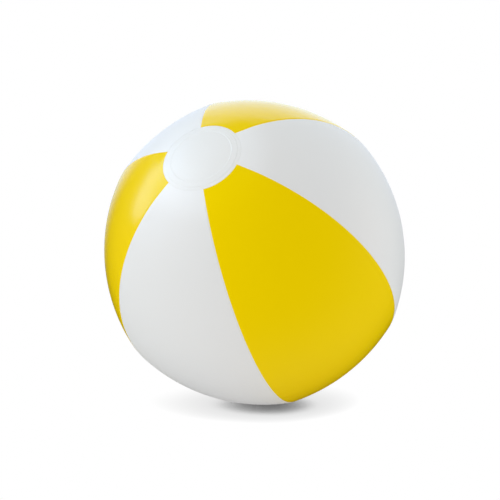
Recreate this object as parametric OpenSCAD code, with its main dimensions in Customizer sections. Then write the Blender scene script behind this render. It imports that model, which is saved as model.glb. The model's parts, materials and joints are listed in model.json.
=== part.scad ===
// Inflatable beach ball: welded gores in two colours, a cap at each pole and an air valve sunk in the hidden cap.
// The ball lies as it was set down. Z = 0 is the floor, and the ball's centre is above the origin.

/* [Ball] */
// Radius at the equator, on the middle line of a gore
gore_mid_r = 135; // [110:1:180]
// Height of the pole above the centre, where the middle lines of the gores would meet
pole_h = 144.5; // [136:0.5:156]
// Radius of the curve across a gore, flatter than the ball itself
gore_cross_r = 165; // [150:1:260]
// Pairs of gores, each one yellow and one white
gore_pairs = 3; // [2:1:5]

/* [Film] */
// Thickness of the film
film = 0.18; // [0.12:0.01:0.5]
// Depth of the seam edge that is turned inwards and welded to its neighbour
fin_depth = 4; // [2:0.5:8]
// Space left between two films that are welded together
weld_gap = 0.03; // [0.02:0.01:0.1]

/* [End caps] */
// Radius of the round opening in the gores where the cap shows
cap_show_r = 36; // [31:0.5:45]
// Width of cap that is lapped under the gore ends
cap_lap = 5; // [3:0.5:8]
// Inner radius of the weld band pressed into the cap
weld_band_r = 28; // [22:0.5:29]
// Width of the weld band
weld_band_w = 4.5; // [2:0.5:6]
// Height of the weld band above the cap
weld_band_rise = 0.15; // [0.05:0.05:0.3]

/* [Valve base] */
// Width of the flange welded under the cap, round the lip
base_w = 5.5; // [4:0.5:8]
// Thickness of the flange
base_t = 0.9; // [0.6:0.1:1.5]
// Width of the lip round the mouth
lip_w = 0.9; // [0.6:0.1:1.5]
// Height of the lip above the top of the cap
lip_rise = 0.3; // [0.1:0.1:0.8]
// Thickness of the skirt that folds when the stem is pushed in
skirt_t = 0.5; // [0.3:0.1:0.8]
// Depth of the skirt, which is half of the stem's travel
skirt_depth = 7; // [5:0.5:9]

/* [Valve stem] */
// Outer radius of the stem
stem_r = 4.5; // [4:0.1:5]
// Radius of the air bore
bore_r = 3; // [2:0.1:3.4]
// Length of the stem
stem_len = 16; // [13:0.5:22]
// Radius of the collar at the stem's mouth, and of the plug's head
collar_r = 5.6; // [5.2:0.1:6]
// Height of the collar
collar_h = 2; // [1.5:0.1:3]
// Thickness of the check flap
flap_t = 0.6; // [0.4:0.1:1]
// Width of the stem's end that the flap covers round the bore
flap_lap = 1.2; // [0.6:0.1:1.4]

/* [Plug] */
// Thickness of the plug's head
head_t = 1.5; // [1.2:0.1:2.5]
// Depth of the head's top below the top of the cap
head_sunk = 0.6; // [0.3:0.1:1.5]
// Length of the plug's shaft
shaft_len = 7; // [5:0.5:10]
// Radial clearance of the shaft in the bore
shaft_gap = 0.05; // [0.02:0.01:0.1]
// Thickness of the pull tab
tab_t = 0.6; // [0.4:0.1:0.8]
// Width of the pull tab
tab_w = 4.5; // [3:0.5:6]
// Width of the strap that loops round the head and keeps the plug
strap_w = 1; // [0.6:0.1:1.4]
// Thickness of the strap
strap_t = 0.75; // [0.5:0.05:0.9]
// Space on either side of the strap
strap_room = 0.4; // [0.3:0.05:0.6]
// Space between valve pieces that move apart
move_gap = 0.05; // [0.03:0.01:0.1]

/* [Lie] */
// Lean of the polar axis from upright, degrees
lean = 46.4; // [30:0.2:60]
// Compass heading of the lean, degrees
heading = -90; // [-180:1:180]
// Turn of the ball about its polar axis, degrees
turn = 112.2; // [104:0.2:128]
// Depth by which the ball's own weight flattens it on the floor
sit = 1; // [0.6:0.1:2]

/* [Hidden] */
$fn = 160;

yellow = [0.93, 0.79, 0.02];
white = [0.92, 0.93, 0.93];
clear_white = [0.88, 0.90, 0.90];

// Each gore's middle line is one arc, whose centre lies behind the polar axis
mid_line_r = (gore_mid_r * gore_mid_r + pole_h * pole_h) / (2 * gore_mid_r);
arc_back = mid_line_r - gore_mid_r;
half_angle = 90 / gore_pairs;
// Half width of the barrel that a gore is cut from
barrel_half_w = gore_mid_r * tan(half_angle) + 2;
reach = 2 * gore_mid_r;

// The cap is a dome that follows the gore ends over the middle of the lap
cap_r = cap_show_r + cap_lap;
lap_mid_r = cap_show_r + cap_lap / 2;
dome_r = lap_mid_r * mid_line_r / (lap_mid_r + arc_back);
dome_z = sqrt(pow(mid_line_r, 2) - pow(lap_mid_r + arc_back, 2)) - sqrt(pow(dome_r, 2) - pow(lap_mid_r, 2));
cap_outer_r = dome_r - film - weld_gap;
cap_inner_r = cap_outer_r - film;
fin_stop_r = cap_r + 1;

// Valve heights are measured outwards from the top of the cap
head_low = -head_sunk - head_t;
tab_low = -head_sunk - tab_t;
strap_top = tab_low - move_gap;
strap_low = strap_top - strap_t;
strap_in_r = collar_r + strap_room;
strap_out_r = strap_in_r + strap_w;
tab_out_r = strap_out_r + 0.1;

// The mouth is as wide as the strap, the skirt's slope and the skirt itself need
skirt_top = -film;
skirt_fold = -film - base_t;
skirt_low = skirt_fold - skirt_depth;
skirt_low_r = stem_r + move_gap;
skirt_weld_h = 1.2;
strap_share = (skirt_fold + skirt_t - strap_low) / skirt_depth;
skirt_in_r = (strap_out_r + strap_room - skirt_low_r * strap_share) / (1 - strap_share);
skirt_outer_r = skirt_in_r + skirt_t;
mouth_r = skirt_outer_r + weld_gap;
base_r = mouth_r + lip_w + base_w;
base_outer_r = cap_inner_r - weld_gap;
cap_hole_r = mouth_r + lip_w + weld_gap;
stem_top = head_low - move_gap;
stem_low = stem_top - stem_len;
flap_top = stem_low - move_gap;
flap_r = min(bore_r + flap_lap, stem_r);

// Reach of a gore straight down from the ball's centre, for a gore whose middle is at this angle from the low side
function down_reach(a) =
    gore_cross_r
    + (mid_line_r - gore_cross_r) * sqrt(1 - pow(sin(lean) * sin(a), 2))
    - arc_back * sin(lean) * cos(a);

gore_angles = [for (i = [0 : 2 * gore_pairs - 1]) turn + 2 * half_angle * i];
centre_z = min([for (a = gore_angles) down_reach(a)]) - sit;

// Puts the ball's own frame, with the polar axis along Z, where the ball lies
module lie() {
    translate([0, 0, centre_z])
        rotate([0, lean, heading])
            rotate([0, 0, turn])
                children();
}

// Valve frame at the hidden pole: Z points out of the ball from the top of the cap
module at_valve() {
    lie()
        rotate([180, 0, 0])
            translate([0, 0, dome_z + cap_outer_r])
                children();
}

// Everything above a level plane
module above(level) {
    translate([-reach, -reach, level])
        cube([2 * reach, 2 * reach, 2 * reach]);
}

// Barrel that a gore is cut from, with its surface moved in by a depth
module barrel(depth) {
    translate([-arc_back, 0, 0])
        rotate([90, 0, 0])
            rotate_extrude()
                intersection() {
                    translate([mid_line_r - gore_cross_r, 0])
                        circle(r = gore_cross_r - depth);
                    translate([0, -barrel_half_w])
                        square([mid_line_r + 1, 2 * barrel_half_w]);
                }
}

// Sector between two seam planes, moved in from each plane by a depth
module sector(depth) {
    start = depth / sin(half_angle);
    side = reach * tan(half_angle);
    polygon([[start, 0], [start + reach, -side], [start + reach, side]]);
}

// Column of an outline through the whole height of the ball
module column() {
    translate([0, 0, -reach])
        linear_extrude(height = 2 * reach)
            children();
}

// Outside of one gore, cut off round the cap openings
module gore_block() {
    intersection() {
        barrel(0);
        column() difference() {
            sector(0);
            circle(r = cap_show_r);
        }
    }
}

// Space inside one gore, between its seam fins, which stop short of the caps
module gore_space() {
    intersection() {
        barrel(film);
        column() union() {
            sector(film);
            circle(r = fin_stop_r);
        }
    }
}

// One gore with its welded edges turned in, flattened where it meets the floor
module gore(angle) {
    difference() {
        intersection() {
            lie() rotate([0, 0, angle]) gore_block();
            above(0);
        }
        intersection() {
            lie() rotate([0, 0, angle]) gore_space();
            above(film);
        }
        lie() rotate([0, 0, angle]) barrel(film + fin_depth);
    }
}

module yellow_gore(i) {
    color(yellow) gore((4 * i + 2) * half_angle);
}

module white_gore(i) {
    color(white) gore(4 * i * half_angle);
}

// Domed disc of film with a pressed weld band, in the ball's frame at the upper pole
module cap() {
    translate([0, 0, dome_z])
        difference() {
            union() {
                intersection() {
                    sphere(r = cap_outer_r);
                    cylinder(r = cap_r, h = reach);
                }
                intersection() {
                    sphere(r = cap_outer_r + weld_band_rise);
                    difference() {
                        cylinder(r = weld_band_r + weld_band_w, h = reach);
                        translate([0, 0, -1]) cylinder(r = weld_band_r, h = reach + 2);
                    }
                }
            }
            sphere(r = cap_inner_r);
        }
}

module top_cap() {
    color(white) lie() cap();
}

module valve_cap() {
    color(white)
        lie()
            rotate([180, 0, 0])
                difference() {
                    cap();
                    cylinder(r = cap_hole_r, h = reach);
                }
}

// Flange under the cap, with a rounded lip that stands in the cap's hole
module valve_base() {
    color(clear_white)
        at_valve()
            difference() {
                union() {
                    intersection() {
                        translate([0, 0, -cap_outer_r]) sphere(r = base_outer_r);
                        translate([0, 0, -cap_outer_r]) cylinder(r = base_r, h = 2 * cap_outer_r);
                    }
                    translate([0, 0, skirt_fold]) cylinder(r = mouth_r + lip_w, h = lip_rise - skirt_fold);
                    translate([0, 0, lip_rise])
                        rotate_extrude()
                            translate([mouth_r + lip_w / 2, 0])
                                circle(d = lip_w);
                }
                translate([0, 0, -cap_outer_r]) sphere(r = base_outer_r - base_t);
                translate([0, 0, -cap_outer_r]) cylinder(r = mouth_r, h = 2 * cap_outer_r);
            }
}

// Thin skirt from the mouth down to the stem, folded in as when the stem is sunk
module valve_skirt() {
    color(clear_white)
        at_valve()
            rotate_extrude()
                polygon([
                    [skirt_outer_r, skirt_top],
                    [skirt_outer_r, skirt_fold],
                    [skirt_low_r + skirt_t, skirt_low],
                    [skirt_low_r + skirt_t, skirt_low - skirt_weld_h],
                    [skirt_low_r, skirt_low - skirt_weld_h],
                    [skirt_low_r, skirt_low + skirt_t],
                    [skirt_in_r, skirt_fold + skirt_t],
                    [skirt_in_r, skirt_top]
                ]);
}

// Stem with its air bore and a collar at the mouth
module valve_stem() {
    edge = 0.3;
    color(clear_white)
        at_valve()
            rotate_extrude()
                polygon([
                    [bore_r, stem_top],
                    [collar_r - edge, stem_top],
                    [collar_r, stem_top - edge],
                    [collar_r, stem_top - collar_h + edge],
                    [collar_r - edge, stem_top - collar_h],
                    [stem_r, stem_top - collar_h],
                    [stem_r, stem_low],
                    [bore_r, stem_low]
                ]);
}

// Plug with a rounded head, a pull tab and a shaft that fills the bore
module valve_plug() {
    edge = head_t / 3;
    shaft_r = bore_r - shaft_gap;
    color(clear_white)
        at_valve()
            union() {
                rotate_extrude()
                    union() {
                        translate([0, head_low]) square([collar_r - edge, head_t]);
                        translate([0, head_low]) square([collar_r, head_t - edge]);
                        translate([collar_r - edge, -head_sunk - edge]) circle(r = edge);
                    }
                rotate_extrude()
                    polygon([
                        [0, head_low + edge],
                        [shaft_r, head_low + edge],
                        [shaft_r, head_low - shaft_len + 1],
                        [shaft_r - 0.6, head_low - shaft_len],
                        [0, head_low - shaft_len]
                    ]);
                translate([tab_w / 2 - tab_out_r, 0, tab_low])
                    cylinder(d = tab_w, h = tab_t);
                translate([tab_w / 2 - tab_out_r, -tab_w / 2, tab_low])
                    cube([tab_out_r - tab_w / 2, tab_w, tab_t]);
            }
}

// Strap that loops round the head, from a foot on the stem's collar to the underside of the pull tab
module plug_strap() {
    foot_w = 2.4;
    foot_h = 0.9;
    foot_out_r = strap_in_r + strap_w / 3;
    color(clear_white)
        at_valve()
            union() {
                translate([0, 0, strap_low])
                    difference() {
                        cylinder(r = strap_out_r, h = strap_t);
                        translate([0, 0, -1]) cylinder(r = strap_in_r, h = strap_t + 2);
                    }
                intersection() {
                    translate([0, 0, strap_low - foot_h])
                        difference() {
                            cylinder(r = foot_out_r, h = foot_h + strap_t);
                            translate([0, 0, -1]) cylinder(r = collar_r + 2 * move_gap, h = foot_h + strap_t + 2);
                        }
                    translate([0, -foot_w / 2, strap_low - foot_h])
                        cube([2 * collar_r, foot_w, foot_h + strap_t]);
                }
            }
}

// Flap that closes the inner end of the stem
module check_flap() {
    color(clear_white)
        at_valve()
            translate([0, 0, flap_top - flap_t])
                cylinder(r = flap_r, h = flap_t);
}

for (i = [0 : gore_pairs - 1]) {
    yellow_gore(i);
    white_gore(i);
}
top_cap();
valve_cap();
valve_base();
valve_skirt();
valve_stem();
valve_plug();
plug_strap();
check_flap();
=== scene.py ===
# %% [markdown]
# # An inflatable beach ball, piece by piece
# The ball is six gores of vinyl film, three yellow and three white, welded edge to edge. A round cap
# closes each pole, and the cap underneath carries the air valve. The solids of the ball come in first as
# a fixed frame. Every piece made below is placed from that frame, so nothing has to be fitted by eye.

# %% Load the frame
import json
import math

import bmesh
import bpy
from mathutils import Matrix, Vector


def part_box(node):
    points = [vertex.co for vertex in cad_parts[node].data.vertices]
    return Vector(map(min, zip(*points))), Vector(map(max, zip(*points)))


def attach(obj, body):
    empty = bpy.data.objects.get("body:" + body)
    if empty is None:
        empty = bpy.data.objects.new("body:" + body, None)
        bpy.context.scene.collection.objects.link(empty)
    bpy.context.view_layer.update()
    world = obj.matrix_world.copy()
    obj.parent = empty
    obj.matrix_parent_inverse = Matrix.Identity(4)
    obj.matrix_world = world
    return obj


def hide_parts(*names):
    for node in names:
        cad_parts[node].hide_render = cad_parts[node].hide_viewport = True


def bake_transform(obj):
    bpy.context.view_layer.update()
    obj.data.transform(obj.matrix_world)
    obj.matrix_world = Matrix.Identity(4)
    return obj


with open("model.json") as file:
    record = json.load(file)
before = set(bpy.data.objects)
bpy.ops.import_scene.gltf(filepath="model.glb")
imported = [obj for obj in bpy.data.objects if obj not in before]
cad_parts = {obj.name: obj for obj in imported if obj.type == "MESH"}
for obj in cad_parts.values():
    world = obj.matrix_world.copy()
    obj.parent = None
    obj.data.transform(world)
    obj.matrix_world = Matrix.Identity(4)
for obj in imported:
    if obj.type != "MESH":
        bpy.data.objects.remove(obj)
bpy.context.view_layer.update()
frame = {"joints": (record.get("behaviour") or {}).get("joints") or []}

# %% [markdown]
# ## Where the ball lies
# The ball leans on the floor, so its polar axis is neither upright nor level. The valve's own sliding
# joint runs along that axis, and the two caps lie at equal distances from the centre. Reading both from
# the frame is safer than typing the numbers again. Only the turn about the axis has to be given.

# %% The ball's own frame
mm = 0.001
joints = {j["name"]: j for j in frame["joints"]}
valve_axis = Vector(joints["stem_slide"]["axis"]).normalized()
top_axis = -valve_axis
cap_middles = [(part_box(n)[0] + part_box(n)[1]) / 2 for n in ("top_cap", "valve_cap")]
ball_centre = (cap_middles[0] + cap_middles[1]) / 2

lean = math.acos(top_axis.z)
heading = math.atan2(top_axis.y, top_axis.x)
ball_turn = math.radians(112.2)
ball_frame = (
    Matrix.Translation(ball_centre)
    @ Matrix.Rotation(heading, 4, "Z")
    @ Matrix.Rotation(lean, 4, "Y")
    @ Matrix.Rotation(ball_turn, 4, "Z")
)
print("centre", [round(x, 5) for x in ball_centre], "lean", round(math.degrees(lean), 2))

# %% [markdown]
# ## The sizes
# These are the sizes that the gores and caps are cut to. A gore's middle line is one arc whose centre lies
# a little behind the polar axis, which makes the ball slightly taller than it is wide. Across its width a
# gore is flatter than the ball, so the seams stand out as soft ridges.

# %% Gore and cap sizes
gore_mid_r = 135 * mm
pole_h = 144.5 * mm
gore_cross_r = 165 * mm
gore_count = 6
film = 0.18 * mm
weld_gap = 0.03 * mm
cap_show_r = 36 * mm
cap_lap = 5 * mm

half_angle = math.pi / gore_count
mid_line_r = (gore_mid_r**2 + pole_h**2) / (2 * gore_mid_r)
arc_back = mid_line_r - gore_mid_r
cap_r = cap_show_r + cap_lap
lap_mid_r = cap_show_r + cap_lap / 2
dome_r = lap_mid_r * mid_line_r / (lap_mid_r + arc_back)
lap_mid_z = math.sqrt(mid_line_r**2 - (lap_mid_r + arc_back) ** 2)
dome_z = lap_mid_z - math.sqrt(dome_r**2 - lap_mid_r**2)
cap_outer_r = dome_r - film - weld_gap
print("cap dome radius", round(cap_outer_r / mm, 2), "mm")

# %% [markdown]
# ## Nodes and materials
# All the materials are small node trees, so two helpers come first. One adds a node with its settings and
# the values of its inputs. The other starts a material and hands over its shader.

# %% Node helpers


def set_inputs(node, values):
    """Sets the values of a node's inputs."""
    for key, value in values.items():
        node.inputs[key].default_value = value


def add_node(tree, kind, place, values=None, **settings):
    """Adds one shader node, with its own settings and the values of its inputs."""
    node = tree.nodes.new(kind)
    node.location = place
    for key, value in settings.items():
        setattr(node, key, value)
    set_inputs(node, values or {})
    return node


def new_material(name, surface):
    """Starts a material. Gives it, its node tree and its shader, whose constant values are in surface."""
    material = bpy.data.materials.new(name)
    material.use_nodes = True
    shader = material.node_tree.nodes["Principled BSDF"]
    set_inputs(shader, surface)
    return material, material.node_tree, shader


# %% [markdown]
# ## A shader group for vinyl film
# Film from a roller is never perfectly even. It has a faint ripple that bends reflections, a fine grain
# that softens them, and cloudy changes of gloss where it was handled. All the films here share these, so
# they go in one node group with its own inputs, placed in each material with different values. The group
# gives values only. The shader stays in the material.

# %% Film grain group
film_grain = bpy.data.node_groups.new("Film grain", "ShaderNodeTree")
for label, value in (
    ("Ripple Scale", 60.0),
    ("Grain Scale", 1400.0),
    ("Gloss Low", 0.28),
    ("Gloss High", 0.4),
):
    socket = film_grain.interface.new_socket(label, in_out="INPUT", socket_type="NodeSocketFloat")
    socket.default_value = value
for label in ("Roughness", "Height", "Cloud"):
    film_grain.interface.new_socket(label, in_out="OUTPUT", socket_type="NodeSocketFloat")
grain_share = 0.12
group_in = add_node(film_grain, "NodeGroupInput", (-900, 0))
group_out = add_node(film_grain, "NodeGroupOutput", (500, 0))
where = add_node(film_grain, "ShaderNodeTexCoord", (-900, -300))
ripple = add_node(film_grain, "ShaderNodeTexNoise", (-600, 200), {"Detail": 2.0})
grain = add_node(film_grain, "ShaderNodeTexNoise", (-600, -100), {"Detail": 3.0})
cloud = add_node(film_grain, "ShaderNodeTexNoise", (-600, -400), {"Scale": 11.0, "Detail": 1.5})
gloss = add_node(film_grain, "ShaderNodeMapRange", (-250, -350), {"From Min": 0.3, "From Max": 0.7})
height = add_node(film_grain, "ShaderNodeMath", (-50, 150), {1: grain_share}, operation="MULTIPLY_ADD")
for texture in (ripple, grain, cloud):
    film_grain.links.new(where.outputs["Object"], texture.inputs["Vector"])
film_grain.links.new(group_in.outputs["Ripple Scale"], ripple.inputs["Scale"])
film_grain.links.new(group_in.outputs["Grain Scale"], grain.inputs["Scale"])
film_grain.links.new(cloud.outputs["Fac"], gloss.inputs["Value"])
film_grain.links.new(group_in.outputs["Gloss Low"], gloss.inputs["To Min"])
film_grain.links.new(group_in.outputs["Gloss High"], gloss.inputs["To Max"])
film_grain.links.new(grain.outputs["Fac"], height.inputs[0])
film_grain.links.new(ripple.outputs["Fac"], height.inputs[2])
film_grain.links.new(gloss.outputs["Result"], group_out.inputs["Roughness"])
film_grain.links.new(height.outputs["Value"], group_out.inputs["Height"])
film_grain.links.new(cloud.outputs["Fac"], group_out.inputs["Cloud"])
print("film grain group has", len(film_grain.nodes), "nodes")

# %% [markdown]
# ## A shader group for the welds
# A gore carries a UV map: U runs across it from seam to seam and V along it from cap to cap. Beside a seam
# the film is pressed, so it looks a touch deeper in colour for about two millimetres. At its ends the film
# is doubled by the cap under it. Towards the caps the film turns paler, and the white film cooler too,
# fading out over a few centimetres. The group turns U and V into two masks that rise to one at the seams
# and at the ends, so both effects follow the gore wherever it goes.

# %% Weld mask group
weld_masks = bpy.data.node_groups.new("Weld masks", "ShaderNodeTree")
group_in = add_node(weld_masks, "NodeGroupInput", (-700, 300))
group_out = add_node(weld_masks, "NodeGroupOutput", (300, 0))
uv = add_node(weld_masks, "ShaderNodeUVMap", (-1100, -100), uv_map="Gore")
split = add_node(weld_masks, "ShaderNodeSeparateXYZ", (-900, -100))
weld_masks.links.new(uv.outputs["UV"], split.inputs["Vector"])
falling = {"From Min": 0.0, "To Min": 1.0, "To Max": 0.0}
# The second mask rises over a few centimetres towards the caps, where the film is made paler.
for axis, label, width, row in (("X", "Seam", 0.03, 100), ("Y", "Cap Ends", 0.09, -200)):
    width_label = label + " Width"
    socket = weld_masks.interface.new_socket(width_label, in_out="INPUT", socket_type="NodeSocketFloat")
    socket.default_value = width
    weld_masks.interface.new_socket(label, in_out="OUTPUT", socket_type="NodeSocketFloat")
    from_middle = add_node(weld_masks, "ShaderNodeMath", (-700, row), {1: 0.5}, operation="SUBTRACT")
    away = add_node(weld_masks, "ShaderNodeMath", (-520, row), operation="ABSOLUTE")
    to_edge = add_node(weld_masks, "ShaderNodeMath", (-340, row), {0: 0.5}, operation="SUBTRACT")
    mask = add_node(weld_masks, "ShaderNodeMapRange", (0, row), falling, interpolation_type="SMOOTHSTEP")
    weld_masks.links.new(split.outputs[axis], from_middle.inputs[0])
    weld_masks.links.new(from_middle.outputs["Value"], away.inputs[0])
    weld_masks.links.new(away.outputs["Value"], to_edge.inputs[1])
    weld_masks.links.new(to_edge.outputs["Value"], mask.inputs["Value"])
    weld_masks.links.new(group_in.outputs[width_label], mask.inputs["From Max"])
    weld_masks.links.new(mask.outputs["Result"], group_out.inputs[label])
print("weld mask group has", len(weld_masks.nodes), "nodes")

# %% [markdown]
# ## Vinyl
# Film and mouldings are the same plastic, so one function makes every vinyl material. The base colour
# drifts a little over the piece with the cloud from the grain group, and the gloss and the bump come from
# that group too. A film that is welded also deepens along the seams and turns paler towards the caps.

# %% Vinyl material


def vinyl_material(name, thin, deep, gloss, surface, bump, grain=None, welds=None):
    """Vinyl. thin and deep end its colour drift, and welds names its colours where it is welded."""
    material, tree, shader = new_material(name, surface)
    grain_values = {"Gloss Low": gloss[0], "Gloss High": gloss[1], **(grain or {})}
    grain_node = add_node(tree, "ShaderNodeGroup", (-900, -100), grain_values, node_tree=film_grain)
    ends = {"A": (*thin, 1), "B": (*deep, 1)}
    drift = add_node(tree, "ShaderNodeMix", (-600, 200), ends, data_type="RGBA")
    bump_node = add_node(tree, "ShaderNodeBump", (-400, -300), bump)
    tree.links.new(grain_node.outputs["Cloud"], drift.inputs["Factor"])
    tree.links.new(grain_node.outputs["Height"], bump_node.inputs["Height"])
    tree.links.new(bump_node.outputs["Normal"], shader.inputs["Normal"])
    tree.links.new(grain_node.outputs["Roughness"], shader.inputs["Roughness"])
    colour = drift.outputs["Result"]
    if welds:
        weld_node = add_node(tree, "ShaderNodeGroup", (-600, 450), node_tree=weld_masks)
        for row, (label, shade) in enumerate(welds.items()):
            place = (-300, 300 + 200 * row)
            welded = add_node(tree, "ShaderNodeMix", place, {"B": (*shade, 1)}, data_type="RGBA")
            tree.links.new(weld_node.outputs[label], welded.inputs["Factor"])
            tree.links.new(colour, welded.inputs["A"])
            colour = welded.outputs["Result"]
    tree.links.new(colour, shader.inputs["Base Color"])
    return material


# %% [markdown]
# ## The film materials
# The yellow is a strong, clean pigment with hardly any blue in it. The white is a cool, slightly grey
# vinyl. Both are satin: broad soft reflections, no sharp ones, and the white is the duller. Seen straight
# on, the yellow hardly mirrors, and only a slanting view gives a white reflection, so the front of the ball
# stays a deep yellow.

# %% Film materials
film_bump = {"Strength": 0.06, "Distance": 0.002}
yellow_surface = {"IOR": 1.5, "Specular Tint": (0.06, 0.05, 0.0, 1)}
white_surface = {"IOR": 1.5, "Specular Tint": (1, 0.48, 0.2, 1)}
white_gloss = (0.42, 0.52)
yellow_film = vinyl_material(
    "yellow_film",
    thin=(0.91, 0.645, 0.0),
    deep=(0.89, 0.625, 0.0),
    gloss=(0.17, 0.25),
    surface=yellow_surface,
    bump=film_bump,
    welds={"Cap Ends": (0.905, 0.65, 0.0), "Seam": (0.885, 0.615, 0.0)},
)
# The white film turns paler and cooler towards the caps.
white_film = vinyl_material(
    "white_film",
    thin=(0.802, 0.803, 0.798),
    deep=(0.782, 0.784, 0.782),
    gloss=white_gloss,
    surface=white_surface,
    bump=film_bump,
    welds={"Cap Ends": (0.85, 0.858, 0.863), "Seam": (0.775, 0.777, 0.775)},
)
cap_film = vinyl_material(
    "cap_film",
    thin=(0.843, 0.85, 0.848),
    deep=(0.823, 0.832, 0.832),
    gloss=white_gloss,
    surface=white_surface,
    bump=film_bump,
)
print("film materials:", yellow_film.name, white_film.name, cap_film.name)

# %% [markdown]
# ## Finishing a piece
# Every piece ends the same way: its mesh is moved into place and given its material, its faces are smoothed,
# it is told which body it rides on, and the solid it stands for is hidden. One helper keeps that in one
# place.

# %% Piece helper


def finish_piece(name, bm, place, material, node, body=None):
    """Turns a bmesh into a smooth object that stands for a solid, and hides the solid. One with no body rides
    on none.
    """
    bm.transform(place)
    mesh = bpy.data.meshes.new(name)
    bm.to_mesh(mesh)
    bm.free()
    mesh.materials.append(material)
    mesh.shade_smooth()
    piece = bpy.data.objects.new(name, mesh)
    bpy.context.scene.collection.objects.link(piece)
    if body:
        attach(piece, body)
    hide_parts(node)
    return piece


# %% [markdown]
# ## One gore
# A gore could be cut from a spun barrel with two seam planes, but the round ends at the caps would then
# need a third cut, and the mesh would not follow the seams. Here a flat grid stands for the flat pattern of
# the gore. Each of its points is laid on the barrel at its own angle round the ball, so the rows follow the
# seams and the ends follow the caps exactly, and the grid's own UV map comes along.
#
# Four small things make it film and not a shell. The weld pulls the last millimetre inwards. Slight puckers
# run out from the seams, because a curved edge was welded to a curved edge. Near its ends the gore settles
# on the round dome of the cap, to which it is welded. The hidden rim of the cap shows there as a faint step.

# %% Laying a gore on the ball
weld_tuck = 0.3 * mm
weld_reach = 0.9 * mm
pucker = 0.10 * mm
pucker_reach = 9 * mm
pucker_grows_over = 30 * mm
pucker_waves = ((1.0, 4.1 * mm, 1.0), (0.7, 2.3 * mm, 2.3))
rim_step = 0.06 * mm
rim_soft = 2.4 * mm
rim_fades_over = 3 * mm
dome_reach = 14 * mm
settling_rounds = 12


def barrel_r(w):
    """Radius of a gore's barrel at a distance w across the gore."""
    return mid_line_r - gore_cross_r + math.sqrt(gore_cross_r**2 - w * w)


def smooth(x):
    """Eases from 0 to 1 as x goes from 0 to 1."""
    x = min(max(x, 0.0), 1.0)
    return x * x * (3 - 2 * x)


def film_lift(to_axis, to_seam, run, phase):
    """How far the puckers and the cap's rim lift a gore's film, less what the weld pulls in."""
    wave = sum(share * math.sin(run / length + turn * phase) for share, length, turn in pucker_waves)
    reach = to_seam / pucker_reach
    fade = reach * math.exp(1 - reach) * math.exp(-reach)
    lift = pucker * wave * fade * smooth((to_axis - cap_r) / pucker_grows_over)
    rim = smooth((cap_r + rim_soft / 2 - to_axis) / rim_soft)
    lift += rim_step * rim * smooth((to_axis - cap_show_r) / rim_fades_over)
    depth = weld_tuck * math.exp(-((to_seam / weld_reach) ** 2))
    return lift - depth * smooth((to_axis - cap_r) / dome_reach)


def on_gore(across, along, phase):
    """Point of a gore. across and along run from -1 to 1, from seam to seam and from cap to cap."""
    angle = across * half_angle
    end_w = cap_show_r * math.sin(angle)
    end = math.acos((cap_show_r * math.cos(angle) + arc_back) / barrel_r(end_w))
    latitude = along * end
    w = 0.0
    for _ in range(settling_rounds):
        w = math.tan(angle) * (barrel_r(w) * math.cos(latitude) - arc_back)
    r = barrel_r(w)
    point = Vector((r * math.cos(latitude) - arc_back, w, r * math.sin(latitude)))
    outward = Vector((math.cos(latitude), w / gore_cross_r, math.sin(latitude))).normalized()
    to_axis = math.hypot(point.x, point.y)
    to_seam = to_axis * half_angle * (1 - abs(across))
    dome_middle = Vector((0, 0, math.copysign(dome_z, along)))
    on_dome = dome_middle + (point - dome_middle).normalized() * dome_r
    point = point.lerp(on_dome, smooth((cap_r + dome_reach - to_axis) / dome_reach))
    return point + outward * film_lift(to_axis, to_seam, latitude * mid_line_r, phase)


def keep_cut_edges_crisp(bm):
    """Marks a film's open edges as sharp, so that its thickness doesn't bend the shading beside them."""
    for e in bm.edges:
        if e.is_boundary:
            e.smooth = False


print("half width of a gore at its middle", round(on_gore(1, 0, 0).y / mm, 1), "mm")

# %% A gore's mesh
gore_columns = 72
gore_rows = 192
crowding = 0.5


def gore_mesh(angle, phase):
    """A gore's film as a grid, turned to its place. Its rows crowd together towards the seams."""
    bm = bmesh.new()
    bm.loops.layers.uv.new("Gore")
    bmesh.ops.create_grid(bm, x_segments=gore_columns, y_segments=gore_rows, size=1, calc_uvs=True)
    for v in bm.verts:
        across = v.co.x * (1 + crowding - crowding * v.co.x**2)
        v.co = on_gore(across, v.co.y, phase)
    bm.transform(Matrix.Rotation(angle, 4, "Z"))
    keep_cut_edges_crisp(bm)
    bmesh.ops.recalc_face_normals(bm, faces=bm.faces)
    middle = min(bm.faces, key=lambda f: abs(f.calc_center_median().z))
    if middle.normal.dot(middle.calc_center_median()) < 0:
        bmesh.ops.reverse_faces(bm, faces=bm.faces)
    return bm


print("a gore's grid is", gore_columns, "by", gore_rows)

# %% [markdown]
# ## The six gores
# Yellow and white alternate. The gore underneath meets the floor, so its lowest points are brought up to
# floor level, as the real film gives under the weight of the ball. A Solidify modifier then gives every
# gore the thickness of the film, measured inwards, so that the outside keeps its size.

# %% Building the gores
floor_ease = 0.25 * mm
pucker_shift = 1.7


def settle_on_floor(piece):
    """Flattens what lies under the floor, easing into the flat over a fraction of a millimetre."""
    for v in piece.data.vertices:
        v.co.z = 0.5 * (v.co.z + math.sqrt(v.co.z**2 + floor_ease**2))


def add_film_thickness(piece):
    """Gives a film its thickness on the inside."""
    solid = piece.modifiers.new("film", "SOLIDIFY")
    solid.thickness = film
    solid.offset = -1
    solid.use_even_offset = True


gores = []
for index in range(gore_count):
    colour, film_finish = (("white", white_film), ("yellow", yellow_film))[index % 2]
    number = index // 2 + 1
    bm = gore_mesh(2 * half_angle * index, pucker_shift * index)
    name, node, slot = f"{colour}_panel_{number}", f"{colour}_gore_{number}", f"{colour}_film"
    gore = finish_piece(name, bm, ball_frame, film_finish, node, "ball")
    settle_on_floor(gore)
    add_film_thickness(gore)
    gores.append(gore)
print("gores:", [g.name for g in gores])

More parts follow.
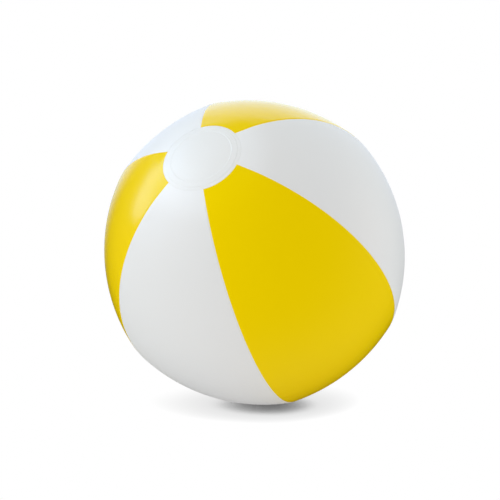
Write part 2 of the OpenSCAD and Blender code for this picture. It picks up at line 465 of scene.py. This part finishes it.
# %% [markdown]
# ## Profiles that spin
# The caps and the valve are round, so each is a profile spun about the polar axis. The profile is a row of
# points from the axis outwards, or a closed ring of points for a hollow piece. A full spin leaves two rows
# on top of each other, so they are merged, and the normals are recalculated because a spin can turn a
# surface inside out.

# %% Spin helper
touching = 1e-7


def spun(points, closed, steps=96):
    """Spins (radius, height) points round Z. A closed profile gives a ring, an open one a sheet."""
    bm = bmesh.new()
    ring = [bm.verts.new((r, 0, z)) for r, z in points]
    pairs = list(zip(ring, ring[1:]))
    if closed:
        pairs.append((ring[-1], ring[0]))
    geom = ring + [bm.edges.new(pair) for pair in pairs]
    full = 2 * math.pi
    bmesh.ops.spin(bm, geom=geom, cent=(0, 0, 0), axis=(0, 0, 1), angle=full, steps=steps, use_merge=True)
    bmesh.ops.remove_doubles(bm, verts=bm.verts, dist=touching)
    bmesh.ops.dissolve_degenerate(bm, edges=bm.edges, dist=touching)
    bmesh.ops.recalc_face_normals(bm, faces=bm.faces)
    return bm


def soften(bm, width, sharper_than=30):
    """Rounds every edge that is sharper than an angle in degrees."""
    limit = math.radians(sharper_than)
    sharp = [e for e in bm.edges if len(e.link_faces) == 2 and e.calc_face_angle(0) > limit]
    bmesh.ops.bevel(
        bm,
        geom=sharp,
        offset=width,
        segments=2,
        profile=0.5,
        affect="EDGES",
        material=-1,
        clamp_overlap=True,
    )


# %% [markdown]
# ## The two caps
# Each cap is a disc of white film that lies under the cut ends of the gores and is welded to them. Its dome
# follows the gores over the lap and bulges a little less than they would. The air pushes it up through the
# round opening until it is flush with the gores, so its edge hardly shows. The press leaves a band with two
# fine rims just inside that edge.

# %% Cap film
weld_band_r = 28 * mm
weld_band_w = 4.5 * mm
band_rise = 0.2 * mm
band_soft = 0.6 * mm
rim_rise = 0.14 * mm
rim_half_w = 0.45 * mm
opening_step = 0.35 * mm
opening_room = 0.05 * mm
fine_margin = 2 * mm
inner_rows = 26
outer_rows = 75


def cap_height(radius):
    """Height of a cap's outside above the ball's centre, with its pressed band."""
    z = dome_z + math.sqrt(cap_outer_r**2 - radius**2)
    z += (film + weld_gap) * smooth((cap_show_r - opening_room - radius) / opening_step)
    z += band_rise * smooth((radius - weld_band_r) / band_soft + 0.5)
    z -= band_rise * smooth((radius - weld_band_r - weld_band_w) / band_soft + 0.5)
    for rim in (weld_band_r, weld_band_r + weld_band_w):
        z += rim_rise * math.exp(-(((radius - rim) / rim_half_w) ** 2))
    return z


def cap_mesh(hole_r):
    """A cap's film, from a hole or the middle out to its edge."""
    fine_r = weld_band_r - fine_margin
    radii = [hole_r + (fine_r - hole_r) * i / inner_rows for i in range(inner_rows)]
    radii += [fine_r + (cap_r - fine_r) * i / outer_rows for i in range(outer_rows + 1)]
    bm = spun([(r, cap_height(r)) for r in radii], closed=False, steps=144)
    keep_cut_edges_crisp(bm)
    top = max(bm.faces, key=lambda f: f.calc_center_median().z)
    if top.normal.z < 0:
        bmesh.ops.reverse_faces(bm, faces=bm.faces)
    return bm


top_disc = finish_piece("top_disc", cap_mesh(0), ball_frame, cap_film, "top_cap", "ball")
add_film_thickness(top_disc)
print("cap shows over a radius of", cap_show_r / mm, "mm")

# %% [markdown]
# ## The valve's heights
# The valve sits at the hidden pole, in a frame of its own: Z points out of the ball from the top of the cap.
# At rest the stem is pushed in, with the plug in its bore, so that the valve lies flush with the ball. The
# strap loops round the plug's head, and everything that passes through the mouth sets how wide the mouth
# has to be.

# %% Valve frame and sizes
far_side = Matrix.Rotation(math.pi, 4, "X")
cap_top = dome_z + cap_outer_r
valve_frame = ball_frame @ far_side @ Matrix.Translation((0, 0, cap_top))
stem_r = 4.5 * mm
bore_r = 3 * mm
stem_len = 16 * mm
collar_r = 5.6 * mm
collar_h = 2 * mm
move_gap = 0.05 * mm
head_t = 1.5 * mm
head_sunk = 0.6 * mm
tab_t = 0.6 * mm
tab_w = 4.5 * mm
tab_over = 0.1 * mm
strap_w = 1 * mm
strap_t = 0.75 * mm
strap_room = 0.4 * mm
base_t = 0.9 * mm
base_w = 5.5 * mm
lip_w = 0.9 * mm
lip_rise = 0.3 * mm
skirt_t = 0.5 * mm
skirt_depth = 7 * mm
skirt_weld_h = 1.2 * mm
flap_t = 0.6 * mm
flap_r = 4.2 * mm
print("valve frame starts", round(cap_top / mm, 1), "mm from the ball's centre")

# %% Valve heights and radii
head_low = -head_sunk - head_t
tab_low = -head_sunk - tab_t
strap_top = tab_low - move_gap
strap_low = strap_top - strap_t
strap_in_r = collar_r + strap_room
strap_out_r = strap_in_r + strap_w
tab_out_r = strap_out_r + tab_over
skirt_top = -film
skirt_fold = -film - base_t
skirt_low = skirt_fold - skirt_depth
skirt_low_r = stem_r + move_gap
strap_share = (skirt_fold + skirt_t - strap_low) / skirt_depth
skirt_in_r = (strap_out_r + strap_room - skirt_low_r * strap_share) / (1 - strap_share)
mouth_r = skirt_in_r + skirt_t + weld_gap
stem_top = head_low - move_gap
stem_low = stem_top - stem_len
cap_hole_r = mouth_r + lip_w + weld_gap
print("valve mouth radius", round(mouth_r / mm, 2), "mm")

# %% [markdown]
# ## Soft clear vinyl for the valve
# Valve mouldings are thicker and softer than film: milky, a little see-through and glossier on the outside.
# A little subsurface light gives the milky look. The grain group gives them the faint unevenness of a
# moulding, with a finer ripple than the film has, because the pieces are small.

# %% Valve materials
moulding_surface = {"IOR": 1.5, "Subsurface Weight": 0.25, "Subsurface Scale": 0.002}
moulding_grain = {"Ripple Scale": 420.0, "Grain Scale": 3800.0}
moulding_bump = {"Strength": 0.1, "Distance": 0.0004}
valve_vinyl = vinyl_material(
    "valve_vinyl",
    thin=(0.74, 0.77, 0.78),
    deep=(0.68, 0.71, 0.72),
    gloss=(0.2, 0.32),
    surface=moulding_surface,
    bump=moulding_bump,
    grain=moulding_grain,
)
plug_vinyl = vinyl_material(
    "plug_vinyl",
    thin=(0.78, 0.80, 0.80),
    deep=(0.72, 0.74, 0.75),
    gloss=(0.22, 0.34),
    surface=moulding_surface,
    bump=moulding_bump,
    grain=moulding_grain,
)
print("valve materials:", valve_vinyl.name, plug_vinyl.name)

# %% [markdown]
# ## The valve's cap and base
# The lower cap is the same disc with a hole for the valve. The base is a flange welded under it, with a
# rounded lip that stands in the hole. Its profile is a closed ring of points that follows the dome of the
# cap, and the lip is half a circle.

# %% Valve cap and base
far_frame = ball_frame @ far_side
valve_disc = finish_piece(
    "valve_disc", cap_mesh(cap_hole_r), far_frame, cap_film, "valve_cap", "ball"
)
add_film_thickness(valve_disc)

base_outer_r = cap_outer_r - film - weld_gap
base_inner_r = base_outer_r - base_t
lip_out_r = mouth_r + lip_w
base_r = lip_out_r + base_w
lip_middle = mouth_r + lip_w / 2
profile_steps = 8


def under_dome(radius, dome):
    """Height, in the valve's frame, of a dome about the cap's own centre."""
    return math.sqrt(dome**2 - radius**2) - cap_outer_r


base_steps = [base_r - (base_r - lip_out_r) * i / profile_steps for i in range(profile_steps + 1)]
base_profile = [(r, under_dome(r, base_outer_r)) for r in base_steps]
for i in range(profile_steps + 1):
    turn = math.pi * i / profile_steps
    lip_point = (lip_middle + lip_w / 2 * math.cos(turn), lip_rise + lip_w / 2 * math.sin(turn))
    base_profile.append(lip_point)
base_profile.append((mouth_r, under_dome(mouth_r, base_inner_r)))
base_profile += [(r, under_dome(r, base_inner_r)) for r in reversed(base_steps)]
bm = spun(base_profile, closed=True)
valve_base = finish_piece("base_ring", bm, valve_frame, valve_vinyl, "valve_base", "ball")
print("base flange radius", round(base_r / mm, 1), "mm")

# %% [markdown]
# ## The folding skirt
# A thin skirt joins the mouth to the stem. It is folded in while the stem is sunk, and turns inside out when
# the stem is pulled. It has to bend as it does so, so its slope is divided into many rows, and it rides on
# neither the ball nor the stem.

# %% Skirt
slope_rows = 16
weld_low = skirt_low - skirt_weld_h
shares = [i / slope_rows for i in range(slope_rows + 1)]
slope_w = skirt_in_r - skirt_low_r
outer_slope = [(skirt_in_r + skirt_t - slope_w * s, skirt_fold - skirt_depth * s) for s in shares]
inner_slope = [(skirt_low_r + slope_w * s, skirt_low + skirt_t + skirt_depth * s) for s in shares]
skirt_profile = [(skirt_in_r + skirt_t, skirt_top)] + outer_slope
skirt_profile += [(skirt_low_r + skirt_t, weld_low), (skirt_low_r, weld_low)]
skirt_profile += inner_slope + [(skirt_in_r, skirt_top)]
bm = spun(skirt_profile, closed=True, steps=72)
skirt = finish_piece("fold_skirt", bm, valve_frame, valve_vinyl, "valve_skirt")
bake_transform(skirt)
print("skirt blends over", round(skirt_depth / mm, 1), "mm")

# %% [markdown]
# ## Stem, plug and flap
# The stem is a tube with a collar at its mouth. The plug is a spun head and shaft with a pull tab grown from
# a disc. The flap is a thin disc that closes the stem's inner end. All are profiles whose edges are rounded
# after the spin, since a soft moulding has no sharp edge.

# %% Stem
stem_profile = [
    (bore_r, stem_top),
    (collar_r, stem_top),
    (collar_r, stem_top - collar_h),
    (stem_r, stem_top - collar_h),
    (stem_r, stem_low),
    (bore_r, stem_low),
]
bm = spun(stem_profile, closed=True)
soften(bm, width=0.25 * mm)
stem = finish_piece("stem_tube", bm, valve_frame, valve_vinyl, "valve_stem", "stem")
print("stem is", stem_len / mm, "mm long")

# %% Plug with its pull tab
shaft_r = bore_r - move_gap
shaft_len = 7 * mm
tip_len = 1 * mm
tip_taper = 0.6 * mm
head_ring_r = 0.55 * collar_r
tab_root = -0.6 * collar_r
tab_rise = 0.9 * tab_t
tab_slack = 1e-6
shaft_low = head_low - shaft_len
plug_profile = [
    (0, -head_sunk),
    (head_ring_r, -head_sunk),
    (collar_r, -head_sunk),
    (collar_r, head_low),
    (shaft_r, head_low),
    (shaft_r, shaft_low + tip_len),
    (shaft_r - tip_taper, shaft_low),
    (0, shaft_low),
]
bm = spun(plug_profile, closed=False)
soften(bm, width=0.3 * mm)
tab = bmesh.ops.create_circle(bm, cap_ends=True, segments=32, radius=tab_w / 2)["verts"]
tab_middle = tab_w / 2 - tab_out_r
bmesh.ops.translate(bm, verts=tab, vec=(tab_middle, 0, tab_low))
for v in tab:
    if v.co.x > tab_middle + tab_slack:
        v.co.x = tab_root
tab_face = [f for f in bm.faces if all(v in tab for v in f.verts)]
raised = bmesh.ops.extrude_face_region(bm, geom=tab_face)["geom"]
raised_verts = [g for g in raised if isinstance(g, bmesh.types.BMVert)]
bmesh.ops.translate(bm, verts=raised_verts, vec=(0, 0, tab_rise))
bmesh.ops.recalc_face_normals(bm, faces=bm.faces)
plug = finish_piece("plug_with_tab", bm, valve_frame, plug_vinyl, "valve_plug", "plug")
print("plug has", len(plug.data.polygons), "faces")

# %% Flap
flap_top = stem_low - move_gap
flap_low = flap_top - flap_t
flap_profile = [(0, flap_top), (flap_r, flap_top), (flap_r, flap_low), (0, flap_low)]
bm = spun(flap_profile, closed=False, steps=48)
soften(bm, width=0.12 * mm)
flap = finish_piece("flap_disc", bm, valve_frame, valve_vinyl, "check_flap", "flap")
print("flap radius", flap_r / mm, "mm")

# %% [markdown]
# ## The plug's strap
# The strap loops round the plug's head. A foot joins it to the stem's collar on one side, and the pull tab
# lies on it on the other. When the plug is pulled out the loop is drawn into a slant, so the strap rides on
# neither the stem nor the plug.

# %% Strap
foot_drop = 0.9 * mm
foot_w = 2.4 * mm
foot_inset = 0.05 * mm
strap_profile = [
    (strap_in_r, strap_low),
    (strap_out_r, strap_low),
    (strap_out_r, strap_top),
    (strap_in_r, strap_top),
]
bm = spun(strap_profile, closed=True, steps=72)
soften(bm, width=0.15 * mm)
foot_low = strap_low - foot_drop
foot_in_r = collar_r + 2 * move_gap
foot = bmesh.ops.create_cube(bm, size=1)["verts"]
foot_size = Vector((strap_in_r + strap_w / 3 - foot_in_r, foot_w, strap_top - foot_low - foot_inset))
bmesh.ops.scale(bm, verts=foot, vec=foot_size)
bmesh.ops.translate(bm, verts=foot, vec=(foot_in_r + foot_size.x / 2, 0, foot_low + foot_size.z / 2))
strap = finish_piece("loop_strap", bm, valve_frame, plug_vinyl, "plug_strap")
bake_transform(strap)
print("strap loop radius", round((strap_in_r + strap_out_r) / 2 / mm, 2), "mm")

# %% [markdown]
# ## The camera
# The ball was photographed with a long lens from a little above its middle, turned to one side of the
# direction in which the cap leans. Its place is given as a distance along the viewing direction, and the
# ball's centre lies a few pixels off the middle of the square picture.

# %% Camera
view_azimuth = math.radians(27.2)
view_elevation = math.radians(8)
camera_distance = 15.42 * gore_mid_r
pixels_per_metre = 149.3 / gore_mid_r
centre_pixel = (254.58, 252.6)
picture = 500
view_right = Vector((math.cos(view_azimuth), math.sin(view_azimuth), 0))
view_toward = Vector(
    (
        math.cos(view_elevation) * math.sin(view_azimuth),
        -math.cos(view_elevation) * math.cos(view_azimuth),
        math.sin(view_elevation),
    )
)
level_toward = Vector((view_toward.x, view_toward.y, 0)).normalized()
view_up = view_toward.cross(view_right)
camera_data = bpy.data.cameras.new("camera")
camera_data.sensor_width = 36
camera_data.lens = pixels_per_metre * camera_distance * camera_data.sensor_width / picture
camera = bpy.data.objects.new("camera", camera_data)
bpy.context.scene.collection.objects.link(camera)
aside = (picture / 2 - centre_pixel[0]) / pixels_per_metre
above = (centre_pixel[1] - picture / 2) / pixels_per_metre
eye = ball_centre + view_toward * camera_distance + view_right * aside + view_up * above
facing = Matrix((view_right, view_up, view_toward)).transposed().to_4x4()
camera.matrix_world = Matrix.Translation(eye) @ facing
bpy.context.scene.camera = camera
print("lens", round(camera_data.lens, 1), "mm at", round(camera_distance, 3), "m")

# %% [markdown]
# ## The floor
# The ball stands on a white table that throws light back up: its underside is nearly as bright as its front,
# as on a lit photographer's table. Such light leaves only a small soft shadow in front of where the ball
# touches. A plain floor under even light would show a much wider one. So the table is white to the camera,
# less what the ball shuts off close by, which an Ambient Occlusion node measures on the ball itself. Its
# normal leans to the light, back and to the left, and so the shadow falls to the front and a little to the
# right. All other rays see matt paint with an even glow.

# %% Floor
to_light = (Vector((0, 0, 1)) - view_right * 0.55 - level_toward * 1.6).normalized()
shadow_reach = 29 * mm
shadow_samples = 32
core_ends_at = 0.44
core_curve = 3.1
tail_shade = 0.64
table_glow = 1.1
glow_share = 0.5
floor_half = 4
bm = bmesh.new()
bmesh.ops.create_grid(bm, x_segments=2, y_segments=2, size=floor_half)
floor_mesh = bpy.data.meshes.new("floor")
bm.to_mesh(floor_mesh)
bm.free()
floor = bpy.data.objects.new("floor", floor_mesh)
bpy.context.scene.collection.objects.link(floor)
matt_surface = {"Base Color": (0.86, 0.86, 0.86, 1), "Roughness": 0.9, "Specular IOR Level": 0.1}
floor_paint, tree, matt = new_material("floor_paint", matt_surface)
glow = add_node(tree, "ShaderNodeEmission", (0, 200), {"Strength": table_glow})
lit_table = add_node(tree, "ShaderNodeMixShader", (300, 100), {"Fac": glow_share})
light_axes = dict(zip("XYZ", to_light))
leaning = add_node(tree, "ShaderNodeCombineXYZ", (-1100, -300), light_axes)
open_share = add_node(
    tree, "ShaderNodeAmbientOcclusion", (-900, -300), {"Distance": shadow_reach}, samples=shadow_samples
)
core_range = {"From Max": core_ends_at}
core = add_node(tree, "ShaderNodeMapRange", (-700, -200), core_range, interpolation_type="SMOOTHSTEP")
curved_core = add_node(tree, "ShaderNodeMath", (-500, -200), {1: core_curve}, operation="POWER")
tail = add_node(tree, "ShaderNodeMapRange", (-700, -500), {"To Min": tail_shade})
shade = add_node(tree, "ShaderNodeMath", (-300, -300), operation="MULTIPLY")
white_table = add_node(tree, "ShaderNodeEmission", (0, -300))
rays = add_node(tree, "ShaderNodeLightPath", (300, 500))
either = add_node(tree, "ShaderNodeMixShader", (600, 0))
tree.links.new(matt.outputs["BSDF"], lit_table.inputs[1])
tree.links.new(glow.outputs["Emission"], lit_table.inputs[2])
tree.links.new(leaning.outputs["Vector"], open_share.inputs["Normal"])
tree.links.new(open_share.outputs["AO"], core.inputs["Value"])
tree.links.new(open_share.outputs["AO"], tail.inputs["Value"])
tree.links.new(core.outputs["Result"], curved_core.inputs[0])
tree.links.new(curved_core.outputs["Value"], shade.inputs[0])
tree.links.new(tail.outputs["Result"], shade.inputs[1])
tree.links.new(shade.outputs["Value"], white_table.inputs["Strength"])
tree.links.new(rays.outputs["Is Camera Ray"], either.inputs["Fac"])
tree.links.new(lit_table.outputs["Shader"], either.inputs[1])
tree.links.new(white_table.outputs["Emission"], either.inputs[2])
tree.links.new(either.outputs["Shader"], tree.nodes["Material Output"].inputs["Surface"])
floor_mesh.materials.append(floor_paint)
floor.visible_glossy = False
print("floor is", round(floor.dimensions.x, 1), "m wide")

# %% [markdown]
# ## The studio
# The background is white to the camera and adds even light. The film mirrors a studio in which only the
# backdrop behind the ball is bright, and a little blue. That is why the yellow turns pale along the top of
# the ball and in a thin line at its sides, and stays deep elsewhere. The direction of a ray is the world's
# own Generated coordinate, so one dot product with the direction of the backdrop is enough to fade it out,
# and its height fades the backdrop out below the edge of the table.

# %% World
even_light = 0.65
backdrop_colour = (0.58, 0.74, 1, 1)
backdrop_middle = (Vector((0, 0, 0.42)) - level_toward).normalized()
backdrop_fade = {"From Min": 0.78, "From Max": 0.95, "To Min": 0.02, "To Max": 1.75}
table_edge = {"From Min": -0.27, "From Max": -0.07}
smoothly = {"interpolation_type": "SMOOTHSTEP"}
world = bpy.data.worlds.new("studio")
bpy.context.scene.world = world
world.use_nodes = True
tree = world.node_tree
sky = tree.nodes["Background"]
rays = add_node(tree, "ShaderNodeLightPath", (-1100, 0))
where = add_node(tree, "ShaderNodeTexCoord", (-1100, 400))
toward_backdrop = add_node(
    tree, "ShaderNodeVectorMath", (-900, 400), {1: backdrop_middle}, operation="DOT_PRODUCT"
)
backdrop = add_node(tree, "ShaderNodeMapRange", (-700, 400), backdrop_fade, **smoothly)
split = add_node(tree, "ShaderNodeSeparateXYZ", (-900, 650))
above_table = add_node(tree, "ShaderNodeMapRange", (-700, 650), table_edge, **smoothly)
seen_backdrop = add_node(tree, "ShaderNodeMath", (-500, 500), operation="MULTIPLY")
mirrored = add_node(tree, "ShaderNodeMath", (-900, 0), operation="MAXIMUM")
even_or_mirrored = add_node(tree, "ShaderNodeMix", (-400, 300), {"A": even_light}, data_type="FLOAT")
level = add_node(tree, "ShaderNodeMix", (-200, 100), {"B": 1.0}, data_type="FLOAT")
tints = {"A": (1, 1, 1, 1), "B": backdrop_colour}
backdrop_tint = add_node(tree, "ShaderNodeMix", (-400, -200), tints, data_type="RGBA")
tree.links.new(where.outputs["Generated"], toward_backdrop.inputs[0])
tree.links.new(toward_backdrop.outputs["Value"], backdrop.inputs["Value"])
tree.links.new(rays.outputs["Is Glossy Ray"], mirrored.inputs[0])
tree.links.new(rays.outputs["Is Transmission Ray"], mirrored.inputs[1])
tree.links.new(mirrored.outputs["Value"], even_or_mirrored.inputs["Factor"])
tree.links.new(where.outputs["Generated"], split.inputs["Vector"])
tree.links.new(split.outputs["Z"], above_table.inputs["Value"])
tree.links.new(backdrop.outputs["Result"], seen_backdrop.inputs[0])
tree.links.new(above_table.outputs["Result"], seen_backdrop.inputs[1])
tree.links.new(seen_backdrop.outputs["Value"], even_or_mirrored.inputs["B"])
tree.links.new(rays.outputs["Is Camera Ray"], level.inputs["Factor"])
tree.links.new(even_or_mirrored.outputs["Result"], level.inputs["A"])
tree.links.new(level.outputs["Result"], sky.inputs["Strength"])
tree.links.new(mirrored.outputs["Value"], backdrop_tint.inputs["Factor"])
tree.links.new(backdrop_tint.outputs["Result"], sky.inputs["Color"])
print("even light at", even_light)

# %% [markdown]
# ## The lamps
# Large soft lamps stand all round the ball, so its shading is gentle. The strongest are overhead, on the left
# and behind on the right. The film would mirror them all, which the photograph doesn't show, so they are
# hidden from mirrored rays. A wide panel on the left is there for its reflection alone, the broad sheen
# beside the cap on the left yellow gore, so it is hidden from the rays that light matt surfaces.

# %% Lamps


def soft_lamp(name, place, size, watts, tint=(1, 1, 1)):
    """A lamp aimed at the ball. place is how far right, up and towards the viewer it is from the ball."""
    data = bpy.data.lights.new(name, "AREA")
    data.shape = "RECTANGLE"
    data.size, data.size_y = size
    data.energy = watts
    data.color = tint
    lamp = bpy.data.objects.new(name, data)
    right, up, toward = place
    offset = view_right * right + Vector((0, 0, 1)) * up + level_toward * toward
    lamp.location = ball_centre + offset
    lamp.rotation_euler = offset.to_track_quat("Z", "Y").to_euler()
    lamp.visible_camera = False
    bpy.context.scene.collection.objects.link(lamp)
    return lamp


cool = (0.86, 0.97, 1)
cooler = (0.8, 0.94, 1)
panel_blue = (0.31, 0.57, 1)
lamps = [
    soft_lamp("overhead", place=(-0.2, 1.5, 0.1), size=(1.8, 1.8), watts=7.0, tint=cooler),
    soft_lamp("left_key", place=(-1.4, 0.5, 0.5), size=(1.4, 1.0), watts=6.6, tint=cool),
    soft_lamp("left_back", place=(-1.4, 0.5, -0.8), size=(1.4, 1.0), watts=1.0),
    soft_lamp("right_fill", place=(1.6, 0.2, 0.3), size=(1.4, 0.5), watts=1.2),
    soft_lamp("right_back", place=(1.6, 0.35, -0.7), size=(1.4, 1.0), watts=9.2, tint=cool),
]
for lamp in lamps:
    lamp.visible_glossy = False
sheen_panel = soft_lamp(
    "sheen_panel", place=(-1.36, 0.83, 0.04), size=(1.6, 1.05), watts=37, tint=panel_blue
)
sheen_panel.visible_diffuse = False
print("lamps:", [lamp.name for lamp in lamps + [sheen_panel]])

# %% [markdown]
# ## Last steps
# The view transform is Standard, so a colour renders about as it is written.

# %% View transform
bpy.context.scene.view_settings.view_transform = "Standard"
